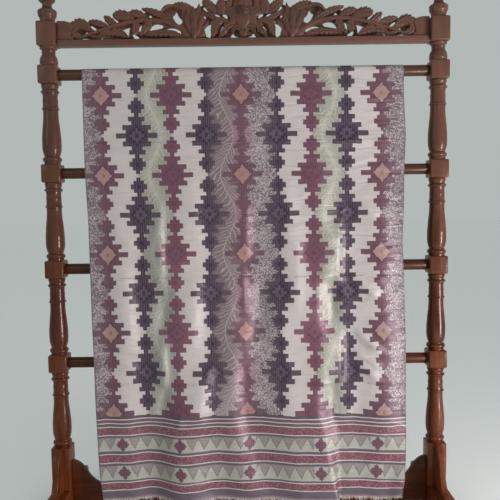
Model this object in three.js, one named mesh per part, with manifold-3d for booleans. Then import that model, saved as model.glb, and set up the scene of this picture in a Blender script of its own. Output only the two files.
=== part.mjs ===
// A batik long cloth hung over the top rod of a turned wooden display stand with a carved crest.
// Millimetres, +Z up, the front faces -Y, the origin is on the floor under the middle of the stand.

import * as THREE from "three";
import { mergeVertices } from "three/addons/utils/BufferGeometryUtils.js";
import Module from "manifold-3d";

const wasm = await Module();
wasm.setup();

// Driving dimensions of the stand
const GAP = 0.3;
const POST_SPAN = 1278;
const POST_SIDE = 62;
const RUNNER = { length: 400, height: 70, toe: 26, toe_height: 30 };
const BASE_TOP = 220;
const ROD_RADIUS = 17;
const ROD_PITCH = 319;
const ROD_COUNT = 4;
const LOWEST_ROD = 509;
const JOINT_BLOCK = 60;
const HEAD_BLOCK = { bottom: 1558, top: 1637 };
const CREST = { rail_height: 20, rail_thickness: 35, carving_thickness: 28, overlap: 10 };
const APRON = { bottom: 12, level: 70, shoulder: 168, thickness: 20 };
const BRACKET_THICKNESS = 20;

// Driving dimensions of the cloth
const CLOTH = { width: 1050, length: 2500, thickness: 1.2, rod_gap: 0.4, hem: 57, left_edge: -528 };
const CLOTH_COLUMNS = 48;
const BORDER_DROP = 1145;
const FRINGE = { strip: 3, thickness: 2, strands: 140, strand_radius: 0.9, length: 9, uneven: 3 };

// Facets around the round pieces
const POST_SIDES = 12;
const ROD_SIDES = 16;
const CURVE_STEPS = 4;
const PIERCING_SIDES = 8;

// Sizes that follow from those above
const INNER_SPAN = POST_SPAN - POST_SIDE - 2 * GAP;
const TOP_ROD = LOWEST_ROD + ROD_PITCH * (ROD_COUNT - 1);
const FRONT_DROP = TOP_ROD - CLOTH.hem;
const ARCH_RADIUS = ROD_RADIUS + CLOTH.rod_gap + CLOTH.thickness / 2;
const BACK_DROP = CLOTH.length - FRONT_DROP - Math.PI * ARCH_RADIUS;

// Each turned length of a post, below the block above it
const TURNING = [
  { drop: 4, radius: 28 },
  { drop: 13, radius: 25.5 },
  { drop: 24, radius: 29.3 },
  { drop: 33, radius: 25.2 },
  { drop: 80, radius: 27.5 },
  { drop: 86, radius: 24.8 },
  { drop: 140, radius: 27.5 },
  { drop: 190, radius: 30.9 },
  { drop: 218, radius: 29.5 },
  { drop: 232, radius: 25.3 },
  { drop: 245, radius: 30 },
  { drop: 255, radius: 26.5 },
];

// The short vase between the head block and the first joint block
const VASE = [
  { drop: 5, radius: 27.5 },
  { drop: 12, radius: 24 },
  { drop: 22, radius: 22.5 },
  { drop: 48, radius: 29.2 },
  { drop: 58, radius: 27 },
];

// The finial above the head block
const FINIAL = [
  { rise: 2, radius: 25 },
  { rise: 20, radius: 26.8 },
  { rise: 34, radius: 29.8 },
  { rise: 42, radius: 25 },
  { rise: 56, radius: 15.4 },
  { rise: 66, radius: 23.5 },
  { rise: 80, radius: 26 },
  { rise: 105, radius: 14 },
  { rise: 118, radius: 8 },
  { rise: 128, radius: 0 },
];

// The crest's top edge from the middle to a post: each leaf runs over its crown to the next notch
const CREST_MIDDLE = 156;
const CREST_LEAVES = [
  { crown_along: 62, crown_rise: 156, notch_along: 88, notch_rise: 131 },
  { crown_along: 125, crown_rise: 150, notch_along: 160, notch_rise: 124 },
  { crown_along: 178, crown_rise: 138, notch_along: 190, notch_rise: 124 },
  { crown_along: 235, crown_rise: 136, notch_along: 266, notch_rise: 110 },
  { crown_along: 309, crown_rise: 126, notch_along: 348, notch_rise: 108 },
  { crown_along: 378, crown_rise: 111, notch_along: 420, notch_rise: 99 },
  { crown_along: 400, crown_rise: 86, notch_along: 402, notch_rise: 77 },
  { crown_along: 425, crown_rise: 90, notch_along: 449, notch_rise: 91 },
  { crown_along: 440, crown_rise: 78, notch_along: 441, notch_rise: 66 },
  { crown_along: 482, crown_rise: 92, notch_along: 530, notch_rise: 72 },
  { crown_along: 546, crown_rise: 62, notch_along: 562, notch_rise: 71 },
  { crown_along: 585, crown_rise: 77, notch_along: INNER_SPAN / 2, notch_rise: 77 },
];

// Openings between the carved leaves on each side of the middle, as ovals that lean by some degrees
const PIERCINGS = [
  { along: 32, rise: 31, half_length: 12, half_height: 6, lean: 0 },
  { along: 60, rise: 93, half_length: 10, half_height: 6, lean: 20 },
  { along: 73, rise: 49, half_length: 14, half_height: 5, lean: -62 },
  { along: 89, rise: 95, half_length: 14, half_height: 6, lean: 27 },
  { along: 117, rise: 47, half_length: 22, half_height: 9, lean: 90 },
  { along: 118, rise: 113, half_length: 15, half_height: 5, lean: 36 },
  { along: 215, rise: 88, half_length: 22, half_height: 10, lean: 76 },
  { along: 230, rise: 49, half_length: 25, half_height: 6, lean: 0 },
  { along: 285, rise: 60, half_length: 22, half_height: 9, lean: -12 },
  { along: 337, rise: 60, half_length: 14, half_height: 5, lean: 95 },
  { along: 354, rise: 34, half_length: 12, half_height: 6, lean: 30 },
  { along: 388, rise: 47, half_length: 18, half_height: 9, lean: -27 },
  { along: 492, rise: 60, half_length: 14, half_height: 6, lean: 31 },
  { along: 513, rise: 44, half_length: 8, half_height: 6, lean: 0 },
];

// The square-cut slot near each end of the carving
const END_SLOTS = [
  { middle: -519, rise: 28.4, half_length: 16, half_height: 4.5 },
  { middle: 521, rise: 27.6, half_length: 15.5, half_height: 4.5 },
];

// The apron's top edge on the way from a post to its level middle
const APRON_CURVES = [
  { bend_along: 580, bend_height: 166, along: 556, height: 126 },
  { bend_along: 536, bend_height: 92, along: 510, height: 86 },
  { bend_along: 500, bend_height: 84, along: 492, height: APRON.level },
];

// A bracket's front edge from its top down to its toe on the runner
const BRACKET_TOP = { reach: 22, height: 222 };
const BRACKET_CURVES = [
  { bend_reach: 48, bend_height: 206, reach: 54, height: 172 },
  { bend_reach: 62, bend_height: 104, reach: 88, height: 88 },
  { bend_reach: 104, bend_height: 78, reach: 132, height: 78 },
];

// Ridges and valleys that run down the front of the cloth: how far across from its left edge and
// how far out they lie, where the border begins and at the hem
const FOLD_LINES = [
  { name: "left edge", border_across: 0, border_out: 18, hem_across: 0, hem_out: 26 },
  { name: "edge hollow", border_across: 41, border_out: 13, hem_across: 50, hem_out: 20 },
  { name: "edge ridge", border_across: 92, border_out: 17, hem_across: 88, hem_out: 18 },
  { name: "left valley", border_across: 178, border_out: 0, hem_across: 167, hem_out: 0 },
  { name: "left ridge", border_across: 305, border_out: 34, hem_across: 296, hem_out: 50 },
  { name: "centre left valley", border_across: 410, border_out: 20, hem_across: 424, hem_out: 15 },
  { name: "centre ridge", border_across: 459, border_out: 24, hem_across: 518, hem_out: 33 },
  { name: "centre right valley", border_across: 524, border_out: 6, hem_across: 595, hem_out: 24 },
  { name: "right ridge start", border_across: 700, border_out: 37, hem_across: 706, hem_out: 48 },
  { name: "right ridge end", border_across: 755, border_out: 40, hem_across: 808, hem_out: 50 },
  { name: "right valley start", border_across: 835, border_out: 18, hem_across: 848, hem_out: 20 },
  { name: "right valley end", border_across: 868, border_out: 17, hem_across: 905, hem_out: 22 },
  { name: "edge fold", border_across: 983, border_out: 40, hem_across: 990, hem_out: 31 },
  { name: "right edge", border_across: 1050, border_out: 30, hem_across: 1050, hem_out: 50 },
];

// How much of a fold has formed at each drop below the rod, and where the left edge hangs there
const HANG = [
  { drop: 0, formed: 0, edge_in: 0 },
  { drop: 200, formed: 0.04, edge_in: 0 },
  { drop: 330, formed: 0.22, edge_in: 1 },
  { drop: 480, formed: 0.55, edge_in: 9 },
  { drop: 650, formed: 0.66, edge_in: 11 },
  { drop: 810, formed: 0.76, edge_in: 13 },
  { drop: 950, formed: 0.88, edge_in: 17 },
  { drop: 1060, formed: 0.95, edge_in: 18 },
  { drop: BORDER_DROP, formed: 1, edge_in: 20 },
  { drop: 1220, formed: 1, edge_in: 23 },
  { drop: 1300, formed: 1, edge_in: 25 },
  { drop: 1365, formed: 1, edge_in: 28 },
  { drop: FRONT_DROP, formed: 1, edge_in: 30 },
];

// The cloth's back hangs nearly flat, in a few shallow waves
const BACK_DROPS = [150, 420, 730, BACK_DROP];
const BACK_WAVE = { out: 12, waves: 3.5, edge_in: 16 };

// Finishes
const WOOD = new THREE.MeshStandardMaterial({ color: 0x6f3f2b, roughness: 0.35, metalness: 0 });
const BATIK = new THREE.MeshStandardMaterial({ color: 0xa58c92, roughness: 0.85, metalness: 0 });
const THREAD = new THREE.MeshStandardMaterial({ color: 0xcfc4bd, roughness: 0.9, metalness: 0 });

// Closed geometry with shared corners, its faces pointing out
function weld(geometry) {
  const bare = geometry.index ? geometry.toNonIndexed() : geometry.clone();
  for (const name of Object.keys(bare.attributes)) {
    if (name !== "position") bare.deleteAttribute(name);
  }
  const welded = mergeVertices(bare, 1e-3);
  const corners = Array.from(welded.index.array);
  const kept = [];
  for (let i = 0; i < corners.length; i += 3) {
    const [a, b, c] = corners.slice(i, i + 3);
    if (a !== b && b !== c && c !== a) kept.push(a, b, c);
  }
  if (signedVolume(welded.attributes.position, kept) < 0) kept.reverse();
  welded.setIndex(kept);
  return welded;
}

function signedVolume(position, corners) {
  const [a, b, c] = [new THREE.Vector3(), new THREE.Vector3(), new THREE.Vector3()];
  let volume = 0;
  for (let i = 0; i < corners.length; i += 3) {
    a.fromBufferAttribute(position, corners[i]);
    b.fromBufferAttribute(position, corners[i + 1]);
    c.fromBufferAttribute(position, corners[i + 2]);
    volume += a.dot(b.cross(c)) / 6;
  }
  return volume;
}

function toSolid(geometry) {
  const welded = weld(geometry);
  const vertProperties = Float32Array.from(welded.attributes.position.array);
  const triVerts = Uint32Array.from(welded.index.array);
  return new wasm.Manifold(new wasm.Mesh({ numProp: 3, vertProperties, triVerts }));
}

function joined(geometries) {
  const [first, ...others] = geometries.map(toSolid);
  const mesh = others.reduce((whole, solid) => whole.add(solid), first).getMesh();
  const geometry = new THREE.BufferGeometry();
  geometry.setAttribute("position", new THREE.Float32BufferAttribute(mesh.vertProperties, 3));
  geometry.setIndex(Array.from(mesh.triVerts));
  return geometry;
}

function node(name, geometry, material) {
  const mesh = new THREE.Mesh(weld(geometry), material);
  mesh.name = name;
  return mesh;
}

// A flat board: the shape's x runs along X and its y up Z, its thickness is centred on Y = 0
function board(shape, thickness) {
  const geometry = new THREE.ExtrudeGeometry(shape, {
    depth: thickness,
    bevelEnabled: false,
    curveSegments: CURVE_STEPS,
  });
  geometry.translate(0, 0, -thickness / 2);
  geometry.rotateX(Math.PI / 2);
  return geometry;
}

// Posts: square blocks left on a turned baluster, with a finial on top
function blockLevels() {
  const levels = [{ bottom: RUNNER.height + GAP, top: BASE_TOP }];
  for (let i = 0; i < ROD_COUNT; i += 1) {
    const middle = LOWEST_ROD + ROD_PITCH * i;
    levels.push({ bottom: middle - JOINT_BLOCK / 2, top: middle + JOINT_BLOCK / 2 });
  }
  levels.push(HEAD_BLOCK);
  return levels;
}

function postProfile(levels) {
  const core = TURNING[TURNING.length - 1].radius;
  const heart = (levels[0].bottom + levels[0].top) / 2;
  const points = [new THREE.Vector2(0, heart), new THREE.Vector2(core, heart)];
  for (let i = 1; i < levels.length; i += 1) {
    const rows = i === levels.length - 1 ? VASE : TURNING;
    for (const { drop, radius } of rows.toReversed()) {
      points.push(new THREE.Vector2(radius, levels[i].bottom - drop));
    }
  }
  for (const { rise, radius } of FINIAL) {
    points.push(new THREE.Vector2(radius, HEAD_BLOCK.top + rise));
  }
  return points;
}

function postGeometry() {
  const levels = blockLevels();
  const turned = new THREE.LatheGeometry(postProfile(levels), POST_SIDES);
  turned.rotateX(Math.PI / 2);
  const blocks = levels.map(({ bottom, top }) => {
    const block = new THREE.BoxGeometry(POST_SIDE, POST_SIDE, top - bottom);
    return block.translate(0, 0, (top + bottom) / 2);
  });
  return joined([turned, ...blocks]);
}

// Runner: the foot under each post, with a sloping toe at both ends
function runnerGeometry() {
  const half = RUNNER.length / 2;
  const shape = new THREE.Shape();
  shape.moveTo(-half, 0);
  shape.lineTo(half, 0);
  shape.lineTo(half, RUNNER.toe_height);
  shape.quadraticCurveTo(half, RUNNER.height, half - RUNNER.toe, RUNNER.height);
  shape.lineTo(RUNNER.toe - half, RUNNER.height);
  shape.quadraticCurveTo(-half, RUNNER.height, -half, RUNNER.toe_height);
  shape.closePath();
  return board(shape, POST_SIDE);
}

// Bracket: the curved fin that braces a post along its runner
function bracketGeometry() {
  const foot = RUNNER.height + GAP;
  const shape = new THREE.Shape();
  shape.moveTo(0, foot);
  shape.lineTo(0, BRACKET_TOP.height);
  shape.lineTo(BRACKET_TOP.reach, BRACKET_TOP.height);
  for (const { bend_reach, bend_height, reach, height } of BRACKET_CURVES) {
    shape.quadraticCurveTo(bend_reach, bend_height, reach, height);
  }
  shape.lineTo(BRACKET_CURVES.at(-1).reach, foot);
  shape.closePath();
  return board(shape, BRACKET_THICKNESS);
}

// Apron: the shaped board low between the posts
function apronGeometry() {
  const end = INNER_SPAN / 2;
  const shape = new THREE.Shape();
  shape.moveTo(-end, APRON.bottom);
  shape.lineTo(end, APRON.bottom);
  shape.lineTo(end, APRON.shoulder);
  for (const { bend_along, bend_height, along, height } of APRON_CURVES) {
    shape.quadraticCurveTo(bend_along, bend_height, along, height);
  }
  const last = APRON_CURVES.at(-1);
  shape.lineTo(-last.along, last.height);
  const back = [{ along: end, height: APRON.shoulder }, ...APRON_CURVES];
  for (let i = APRON_CURVES.length - 1; i >= 0; i -= 1) {
    const { bend_along, bend_height } = APRON_CURVES[i];
    shape.quadraticCurveTo(-bend_along, bend_height, -back[i].along, back[i].height);
  }
  shape.closePath();
  return board(shape, APRON.thickness);
}

// Crest: a rail with openwork leaf carving above it, cut from one board
function crestOutline() {
  const shape = new THREE.Shape();
  shape.moveTo(0, CREST_MIDDLE);
  for (const { crown_along, crown_rise, notch_along, notch_rise } of CREST_LEAVES) {
    shape.quadraticCurveTo(crown_along, crown_rise, notch_along, notch_rise);
  }
  shape.lineTo(INNER_SPAN / 2, CREST.overlap);
  shape.lineTo(-INNER_SPAN / 2, CREST.overlap);
  shape.lineTo(-INNER_SPAN / 2, CREST_LEAVES.at(-1).notch_rise);
  const notches = [{ notch_along: 0, notch_rise: CREST_MIDDLE }, ...CREST_LEAVES];
  for (let i = CREST_LEAVES.length - 1; i >= 0; i -= 1) {
    const { crown_along, crown_rise } = CREST_LEAVES[i];
    shape.quadraticCurveTo(-crown_along, crown_rise, -notches[i].notch_along, notches[i].notch_rise);
  }
  return shape;
}

function ovalHole({ along, rise, half_length, half_height, lean }, side) {
  const hole = new THREE.Path();
  const turn = side * THREE.MathUtils.degToRad(lean);
  const corners = [];
  for (let i = 0; i < PIERCING_SIDES; i += 1) {
    const angle = (2 * Math.PI * i) / PIERCING_SIDES;
    const corner = new THREE.Vector2(half_length * Math.cos(angle), half_height * Math.sin(angle));
    corner.rotateAround(new THREE.Vector2(), turn);
    corners.push(corner.add(new THREE.Vector2(side * along, rise)));
  }
  return hole.setFromPoints(corners);
}

function slotHole({ middle, rise, half_length, half_height }) {
  const [near, far] = [middle - half_length, middle + half_length];
  return new THREE.Path().setFromPoints([
    new THREE.Vector2(near, rise - half_height),
    new THREE.Vector2(far, rise - half_height),
    new THREE.Vector2(far, rise + half_height),
    new THREE.Vector2(near, rise + half_height),
  ]);
}

function crestGeometry() {
  const outline = crestOutline();
  for (const side of [-1, 1]) {
    for (const piercing of PIERCINGS) outline.holes.push(ovalHole(piercing, side));
  }
  for (const slot of END_SLOTS) outline.holes.push(slotHole(slot));
  const carving = board(outline, CREST.carving_thickness);
  const rail = new THREE.BoxGeometry(INNER_SPAN, CREST.rail_thickness, CREST.rail_height);
  rail.translate(0, 0, CREST.rail_height / 2);
  return joined([carving, rail]);
}

// Rods: plain round bars between the joint blocks
function rodGeometry() {
  const rod = new THREE.CylinderGeometry(ROD_RADIUS, ROD_RADIUS, INNER_SPAN, ROD_SIDES);
  return rod.rotateZ(Math.PI / 2);
}

// Cloth: a value between the rows of a table, eased so that ridges and valleys are round
function between(rows, key, value, at, ease) {
  const last = rows.length - 1;
  const next = Math.min(Math.max(rows.findIndex((row) => row[key] >= at), 1), last);
  const [low, high] = [rows[next - 1], rows[next]];
  const share = THREE.MathUtils.clamp((at - low[key]) / (high[key] - low[key]), 0, 1);
  return THREE.MathUtils.lerp(low[value], high[value], ease(share));
}

const straight = (share) => share;
const rounded = (share) => (1 - Math.cos(Math.PI * share)) / 2;

// The fold lines as they lie at one drop below the rod
function foldsAt(drop) {
  const lower = THREE.MathUtils.clamp((drop - BORDER_DROP) / (FRONT_DROP - BORDER_DROP), 0, 1);
  const formed = between(HANG, "drop", "formed", drop, straight);
  return FOLD_LINES.map((line) => ({
    across: THREE.MathUtils.lerp(line.border_across, line.hem_across, lower),
    out: formed * THREE.MathUtils.lerp(line.border_out, line.hem_out, lower),
  }));
}

// One row of points across a hanging side; the cloth keeps its width along the folds
function hungRow(outAt, left, height, facing) {
  const step = CLOTH.width / CLOTH_COLUMNS;
  const row = [];
  let x = left;
  let out = outAt(0);
  for (let i = 0; i <= CLOTH_COLUMNS; i += 1) {
    const next = outAt(i * step);
    if (i > 0) x += Math.sqrt(step * step - (next - out) ** 2);
    out = next;
    row.push(new THREE.Vector3(x, facing * (ARCH_RADIUS + out), height));
  }
  return row;
}

function frontRow(drop, height) {
  const folds = foldsAt(drop);
  const outAt = (across) => between(folds, "across", "out", across, rounded);
  const left = CLOTH.left_edge + between(HANG, "drop", "edge_in", drop, straight);
  return hungRow(outAt, left, height, -1);
}

function archRow(angle) {
  const row = [];
  for (let i = 0; i <= CLOTH_COLUMNS; i += 1) {
    const x = CLOTH.left_edge + (CLOTH.width * i) / CLOTH_COLUMNS;
    row.push(new THREE.Vector3(x, -ARCH_RADIUS * Math.cos(angle), TOP_ROD + ARCH_RADIUS * Math.sin(angle)));
  }
  return row;
}

function backRow(drop) {
  const formed = drop / BACK_DROP;
  const outAt = (across) => formed * BACK_WAVE.out * rounded((2 * BACK_WAVE.waves * across) / CLOTH.width);
  return hungRow(outAt, CLOTH.left_edge + formed * BACK_WAVE.edge_in, TOP_ROD - drop, 1);
}

function clothRows() {
  const front = HANG.toReversed().map(({ drop }) => frontRow(drop, TOP_ROD - drop));
  const arch = [];
  const steps = ROD_SIDES / 2;
  for (let i = 1; i <= steps; i += 1) arch.push(archRow((Math.PI * i) / steps));
  return [...front, ...arch, ...BACK_DROPS.map(backRow)];
}

// A closed sheet of some thickness around rows of points
function sheetGeometry(rows, thickness) {
  const columns = rows[0].length;
  const faces = [-1, 1].map((side) => offsetPoints(rows, (side * thickness) / 2));
  const position = faces.flat().flatMap((point) => point.toArray());
  const count = rows.length * columns;
  const at = (face, row, column) => face * count + row * columns + column;
  const index = [];
  const quad = (a, b, c, d) => index.push(a, b, c, a, c, d);
  for (let r = 0; r + 1 < rows.length; r += 1) {
    for (let c = 0; c + 1 < columns; c += 1) {
      quad(at(1, r, c), at(1, r, c + 1), at(1, r + 1, c + 1), at(1, r + 1, c));
      quad(at(0, r, c), at(0, r + 1, c), at(0, r + 1, c + 1), at(0, r, c + 1));
    }
    const end = columns - 1;
    quad(at(0, r, 0), at(1, r, 0), at(1, r + 1, 0), at(0, r + 1, 0));
    quad(at(0, r, end), at(0, r + 1, end), at(1, r + 1, end), at(1, r, end));
  }
  const last = rows.length - 1;
  for (let c = 0; c + 1 < columns; c += 1) {
    quad(at(0, 0, c), at(0, 0, c + 1), at(1, 0, c + 1), at(1, 0, c));
    quad(at(0, last, c), at(1, last, c), at(1, last, c + 1), at(0, last, c + 1));
  }
  const geometry = new THREE.BufferGeometry();
  geometry.setAttribute("position", new THREE.Float32BufferAttribute(position, 3));
  geometry.setIndex(index);
  return geometry;
}

function offsetPoints(rows, distance) {
  return rows.flatMap((row, r) =>
    row.map((point, c) => {
      const up = rows[Math.min(r + 1, rows.length - 1)][c].clone().sub(rows[Math.max(r - 1, 0)][c]);
      const along = row[Math.min(c + 1, row.length - 1)].clone().sub(row[Math.max(c - 1, 0)]);
      return along.cross(up).normalize().multiplyScalar(distance).add(point);
    }),
  );
}

// Fringe: thread ends left along the front hem, rooted in a narrow strip of the weave
function fringeGeometry() {
  const top = frontRow(FRONT_DROP, CLOTH.hem - GAP);
  const bottom = frontRow(FRONT_DROP, CLOTH.hem - GAP - FRINGE.strip);
  const strip = sheetGeometry([bottom, top], FRINGE.thickness);
  const strands = [];
  for (let i = 0; i < FRINGE.strands; i += 1) strands.push(strandGeometry(bottom, i));
  return joined([strip, ...strands]);
}

function strandGeometry(roots, i) {
  const place = ((i + 0.5) / FRINGE.strands) * CLOTH_COLUMNS;
  const column = Math.floor(place);
  const root = roots[column].clone().lerp(roots[column + 1], place - column);
  const uneven = Math.sin(i * 12.9898) * Math.cos(i * 4.1414);
  const length = FRINGE.length + FRINGE.uneven * uneven;
  const rooted = FRINGE.strip / 2;
  const strand = new THREE.ConeGeometry(FRINGE.strand_radius, length + rooted, 3);
  strand.rotateX(-Math.PI / 2);
  return strand.translate(root.x, root.y, root.z + rooted - (length + rooted) / 2);
}

// The assembled stand and cloth
const stand = new THREE.Group();

for (const [side, name] of [[-1, "left"], [1, "right"]]) {
  const leg = new THREE.Group();
  leg.position.x = (side * POST_SPAN) / 2;
  leg.add(node(`post_${name}`, postGeometry(), WOOD));
  const runner = node(`runner_${name}`, runnerGeometry(), WOOD);
  runner.rotation.z = Math.PI / 2;
  leg.add(runner);
  for (const [end, place] of [[-1, "front"], [1, "back"]]) {
    const bracket = node(`bracket_${name}_${place}`, bracketGeometry(), WOOD);
    bracket.rotation.z = (end * Math.PI) / 2;
    bracket.position.y = end * (POST_SIDE / 2 + GAP);
    leg.add(bracket);
  }
  stand.add(leg);
}

for (let i = 0; i < ROD_COUNT; i += 1) {
  const rod = node(`rod_${i + 1}`, rodGeometry(), WOOD);
  rod.position.z = TOP_ROD - ROD_PITCH * i;
  stand.add(rod);
}

const crest = node("crest", crestGeometry(), WOOD);
crest.position.z = HEAD_BLOCK.bottom;
stand.add(crest);
stand.add(node("apron", apronGeometry(), WOOD));
stand.add(node("cloth", sheetGeometry(clothRows(), CLOTH.thickness), BATIK));
stand.add(node("fringe_front", fringeGeometry(), THREAD));

export default stand;
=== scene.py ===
"""A batik long cloth hung over the top rod of a turned wooden display stand with a carved crest."""

import math
from functools import partial

import bpy
import numpy as np
from mathutils import Matrix, Vector


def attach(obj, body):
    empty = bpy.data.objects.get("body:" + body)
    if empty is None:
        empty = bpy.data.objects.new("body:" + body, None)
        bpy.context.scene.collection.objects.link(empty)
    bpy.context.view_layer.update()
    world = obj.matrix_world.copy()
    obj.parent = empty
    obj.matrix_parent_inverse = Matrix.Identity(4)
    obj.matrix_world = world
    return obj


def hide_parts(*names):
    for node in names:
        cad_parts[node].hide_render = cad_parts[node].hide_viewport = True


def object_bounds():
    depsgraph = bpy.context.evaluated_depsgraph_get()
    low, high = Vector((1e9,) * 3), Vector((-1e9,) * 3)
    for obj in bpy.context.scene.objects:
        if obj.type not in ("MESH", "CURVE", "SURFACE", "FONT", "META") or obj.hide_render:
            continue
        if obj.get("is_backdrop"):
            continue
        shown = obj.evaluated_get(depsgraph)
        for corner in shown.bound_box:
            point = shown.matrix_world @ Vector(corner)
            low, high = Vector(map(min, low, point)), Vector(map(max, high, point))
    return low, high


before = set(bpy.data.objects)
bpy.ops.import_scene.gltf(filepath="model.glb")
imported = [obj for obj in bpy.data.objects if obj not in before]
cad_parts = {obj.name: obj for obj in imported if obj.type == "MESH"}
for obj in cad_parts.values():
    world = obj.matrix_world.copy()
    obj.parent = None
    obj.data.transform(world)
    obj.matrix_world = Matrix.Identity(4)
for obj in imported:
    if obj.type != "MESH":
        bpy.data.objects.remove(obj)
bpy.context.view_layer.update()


# Floor, light and camera
# A wide pale floor runs out into surroundings of the same tone. A low soft light stands to the right
# in front, a weaker one fills from the left, and the camera looks a little down on the cloth.
floor_side = 80.0
floor_drop = 0.0005
floor_colour = (0.985, 0.99, 0.987, 1)
surroundings_colour = (0.445, 0.486, 0.474, 1)


def added(operator, **settings):
    """Adds a primitive, with nothing else selected."""
    bpy.ops.object.select_all(action="DESELECT")
    operator(**settings)
    return bpy.context.object


def feed(node, inputs):
    """Sets inputs of a shader node, or links them to an output of another."""
    for name, value in inputs.items():
        if isinstance(value, bpy.types.NodeSocket):
            node.id_data.links.new(value, node.inputs[name])
        else:
            node.inputs[name].default_value = value


def start_finish(name):
    """A new material and its main shader."""
    finish = bpy.data.materials.new(name)
    finish.use_nodes = True
    return finish, finish.node_tree.nodes["Principled BSDF"]


def soft_light(name, place, aim, width, height, watts, colour):
    """A rectangular lamp at a place, turned to an aim."""
    lamp = bpy.data.lights.new(name, "AREA")
    lamp.shape = "RECTANGLE"
    lamp.size = width
    lamp.size_y = height
    lamp.energy = watts
    lamp.color = colour
    stood = bpy.data.objects.new(name, lamp)
    stood.location = place
    stood.rotation_euler = (Vector(aim) - Vector(place)).to_track_quat("-Z", "Y").to_euler()
    bpy.context.scene.collection.objects.link(stood)


floor = added(bpy.ops.mesh.primitive_plane_add, size=floor_side, location=(0, 0, -floor_drop))
floor.name = "floor"
floor_finish, floor_shader = start_finish("pale_floor")
feed(floor_shader, {"Base Color": floor_colour, "Roughness": 0.6})
floor.data.materials.append(floor_finish)
floor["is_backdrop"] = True

surroundings = bpy.data.worlds.new("surroundings")
surroundings.use_nodes = True
feed(surroundings.node_tree.nodes["Background"], {"Color": surroundings_colour, "Strength": 1.0})
bpy.context.scene.world = surroundings
soft_light(
    "window_light",
    place=(2.15, -1.55, 0.50),
    aim=(0, 0, 0.62),
    width=0.55,
    height=0.9,
    watts=58,
    colour=(1.0, 0.97, 0.95),
)
soft_light(
    "fill_light",
    place=(-2.4, -2.0, 2.3),
    aim=(0, 0, 1.2),
    width=1.6,
    height=1.6,
    watts=9,
    colour=(0.93, 0.97, 1.0),
)

camera_place = Vector((0.0129, -2.0098, 1.0283))
camera_tilt = math.radians(90 - 4.11)
camera_roll = math.radians(-0.76)
camera_lens = bpy.data.cameras.new("camera")
camera_lens.sensor_width = 36
camera_lens.lens = 43.2
camera = bpy.data.objects.new("camera", camera_lens)
camera_turn = Matrix.Rotation(camera_tilt, 4, "X") @ Matrix.Rotation(camera_roll, 4, "Z")
camera.matrix_world = Matrix.Translation(camera_place) @ camera_turn
bpy.context.scene.collection.objects.link(camera)
bpy.context.scene.camera = camera
bpy.context.scene.view_settings.view_transform = "Standard"


# Runners
# Each post stands on a sawn foot of the same wood, rounded down at both ends to a short upright toe.
# The saw marks are planed away and every edge is eased before the brown lacquer goes on.
post_span = 1.278
post_side = 0.062
gap = 0.0003
runner_length = 0.400
runner_height = 0.070
runner_toe = 0.026
runner_toe_height = 0.030
runner_easing = 0.0030


def curve_to(points, bend, end, steps=8):
    """Lengthens an outline by a curve that is drawn towards a bend on its way to its end."""
    start = Vector(points[-1])
    for step in range(1, steps + 1):
        share = step / steps
        near = start.lerp(Vector(bend), share)
        far = Vector(bend).lerp(Vector(end), share)
        points.append(tuple(near.lerp(far, share)))


def named(piece, name):
    """Gives a piece and its mesh one name."""
    piece.name = name
    piece.data.name = name
    return piece


def work_on(*pieces):
    """Selects these pieces and nothing else, the first one active."""
    bpy.ops.object.select_all(action="DESELECT")
    for piece in pieces:
        piece.select_set(True)
    bpy.context.view_layer.objects.active = pieces[0]


def face_outwards(piece):
    """Turns all the faces of a piece outwards."""
    work_on(piece)
    bpy.ops.object.mode_set(mode="EDIT")
    bpy.ops.mesh.select_all(action="SELECT")
    bpy.ops.mesh.normals_make_consistent(inside=False)
    bpy.ops.object.mode_set(mode="OBJECT")


def sawn_board(name, outline, thickness):
    """A board cut to an outline of (along X, up Z) points, with its thickness centred on Y = 0."""
    circle = bpy.ops.mesh.primitive_circle_add
    board = named(added(circle, vertices=len(outline), radius=1, fill_type="NGON"), name)
    for vertex, (along, height) in zip(board.data.vertices, outline):
        vertex.co = (along, -thickness / 2, height)
    bpy.ops.object.mode_set(mode="EDIT")
    bpy.ops.mesh.select_all(action="SELECT")
    bpy.ops.mesh.extrude_region_move(TRANSFORM_OT_translate={"value": (0, thickness, 0)})
    bpy.ops.object.mode_set(mode="OBJECT")
    face_outwards(board)
    return board


def ease_edges(piece, width, segments=3, sharpest=35, smoothest=40):
    """Rounds over every edge that is sharper than an angle, then smooths the shading."""
    work_on(piece)
    eased = piece.modifiers.new("eased", "BEVEL")
    eased.width = width
    eased.segments = segments
    eased.limit_method = "ANGLE"
    eased.angle_limit = math.radians(sharpest)
    bpy.ops.object.modifier_apply(modifier=eased.name)
    bpy.ops.object.shade_smooth_by_angle(angle=math.radians(smoothest))


def set_in_place(piece, place, turn=0):
    """Turns a piece about the upright axis, moves it and leaves its object at the origin."""
    work_on(piece)
    piece.rotation_euler.z = math.radians(turn)
    piece.location = place
    bpy.ops.object.transform_apply()


def copy_of(piece, name):
    """Another one of a piece, with a mesh of its own."""
    twin = piece.copy()
    twin.data = piece.data.copy()
    bpy.context.scene.collection.objects.link(twin)
    return named(twin, name)


def fit(piece, node, finish):
    """Finishes a piece and lets it stand for a node of the frame."""
    piece.data.materials.clear()
    piece.data.materials.append(finish)
    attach(piece, "root")
    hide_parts(node)


def add_node(shader, kind, output, inputs, **settings):
    """Adds a node beside a shader, sets it up and gives back one of its outputs."""
    node = shader.id_data.nodes.new("ShaderNode" + kind)
    for setting, value in settings.items():
        setattr(node, setting, value)
    feed(node, inputs)
    return node.outputs[output]


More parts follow.
